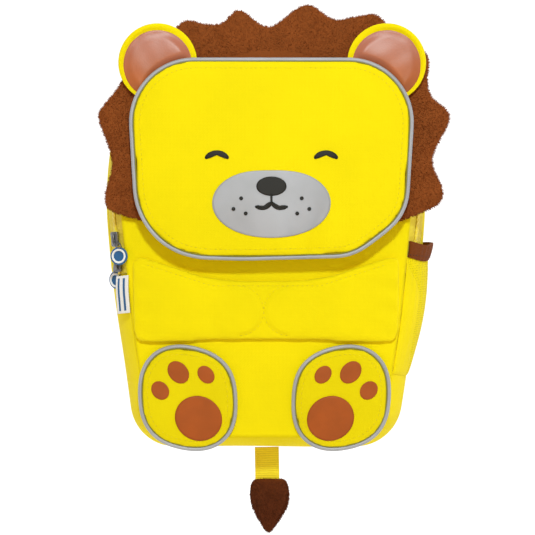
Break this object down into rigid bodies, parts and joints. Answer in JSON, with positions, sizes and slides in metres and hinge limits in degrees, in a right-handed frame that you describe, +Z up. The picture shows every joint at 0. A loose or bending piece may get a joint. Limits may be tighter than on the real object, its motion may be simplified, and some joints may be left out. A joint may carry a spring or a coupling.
{
  "type": "toddler harness backpack",
  "caption": "Small child's backpack shaped as a lion, with a padded head flap, plush mane, stuffed arms and feet, a side pocket, shoulder straps, a chest strap and a rein ring",
  "frame": {"origin": "centre of the back panel's outer face, which lies on the wearer's back", "axes": "+X to the right as seen from the front, +Y out of the back panel towards the wearer, +Z up"},
  "size_m": [0.2332, 0.1701, 0.3548],
  "materials": {
    "yellow_cloth": "woven polyester, matt",
    "yellow_webbing": "ribbed webbing, matt",
    "brown_plush": "short-pile plush",
    "dark_plush": "short-pile plush",
    "grey_reflective": "grey reflective cloth",
    "black_print": "black print on cloth",
    "brown_print": "brown print on cloth",
    "brown_lining": "glossy imitation leather",
    "brown_binding": "woven binding",
    "white_label": "satin woven tape",
    "blue_rubber": "moulded soft rubber",
    "zip_metal": "dark plated metal",
    "yellow_plastic": "moulded plastic"
  },
  "bodies": {
    "root": {"base_gusset": "yellow_cloth", "zip_gusset": "yellow_cloth", "zip_tape_rear": "yellow_webbing", "zip_coil": "yellow_plastic", "zip_tape_front": "yellow_webbing", "back_panel": "yellow_cloth", "front_panel": "yellow_cloth", "mane": "brown_plush", "ear_left": "yellow_cloth", "ear_lining_left": "brown_lining", "ear_right": "yellow_cloth", "ear_lining_right": "brown_lining", "head_flap": "yellow_cloth", "flap_piping": "grey_reflective", "muzzle": "grey_reflective", "nose": "black_print", "eye_left": "black_print", "eye_right": "black_print", "arm_backing": "yellow_cloth", "arm_left": "yellow_cloth", "arm_right": "yellow_cloth", "foot_left": "yellow_cloth", "foot_piping_left": "grey_reflective", "toe_outer_left": "brown_print", "toe_middle_left": "brown_print", "toe_inner_left": "brown_print", "main_pad_left": "brown_print", "foot_right": "yellow_cloth", "foot_piping_right": "grey_reflective", "toe_outer_right": "brown_print", "toe_middle_right": "brown_print", "toe_inner_right": "brown_print", "main_pad_right": "brown_print", "side_pocket": "yellow_webbing", "pocket_binding": "brown_binding", "zip_slider_upper": "zip_metal", "zip_slider_lower": "zip_metal", "zip_pull_upper": "blue_rubber", "zip_pull_lower": "blue_rubber", "side_tag": "white_label", "tail_strap": "yellow_webbing", "tail_tuft": "dark_plush", "shoulder_strap_left": "yellow_cloth", "strap_adjuster_left": "yellow_plastic", "strap_webbing_left": "yellow_webbing", "shoulder_strap_right": "yellow_cloth", "strap_adjuster_right": "yellow_plastic", "strap_webbing_right": "yellow_webbing", "chest_buckle": "yellow_plastic", "chest_strap_left": "yellow_webbing", "chest_strap_right": "yellow_webbing", "grab_handle": "yellow_webbing", "ring_tab": "yellow_webbing", "rein_ring": "zip_metal"}
  },
  "joints": []
}
